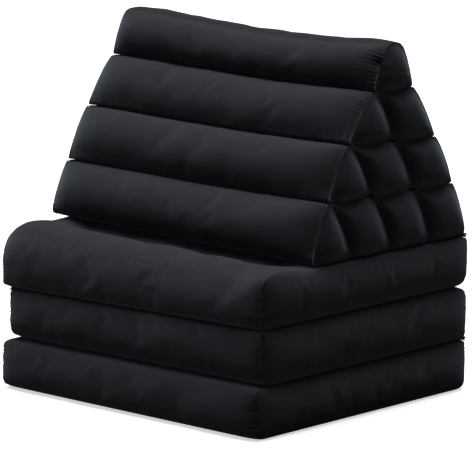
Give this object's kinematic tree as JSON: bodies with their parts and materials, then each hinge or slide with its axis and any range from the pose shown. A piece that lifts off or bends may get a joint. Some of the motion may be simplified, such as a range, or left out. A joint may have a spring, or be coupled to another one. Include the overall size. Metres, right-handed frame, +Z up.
{
  "type": "triangle cushion with folding mat",
  "caption": "Folded floor cushion: stuffed rolls sewn into a stepped triangle, standing on filled mat sections folded in a zigzag, covered in plain near-black cotton.",
  "frame": {"origin": "on the floor, under the middle of the mats, on the flat underside of the bottom mat", "axes": "+Z up, +X along the rolls towards their right-hand end, -Y towards the front where the mats reach out from under the triangle"},
  "size_m": [0.5595, 0.517, 0.5685],
  "materials": {
    "cover": "plain matte cotton, near black",
    "tape": "plain matte cotton, near black"
  },
  "bodies": {
    "root": {"mat_bottom": "cover", "mat_middle": "cover", "mat_top": "cover", "roll_1_1": "cover", "roll_2_1": "cover", "roll_2_2": "cover", "roll_3_1": "cover", "roll_3_2": "cover", "roll_3_3": "cover", "roll_4_1": "cover", "roll_4_2": "cover", "roll_4_3": "cover", "roll_4_4": "cover", "hinge_back": "tape", "hinge_front": "tape", "hinge_cushion": "tape"}
  },
  "joints": []
}
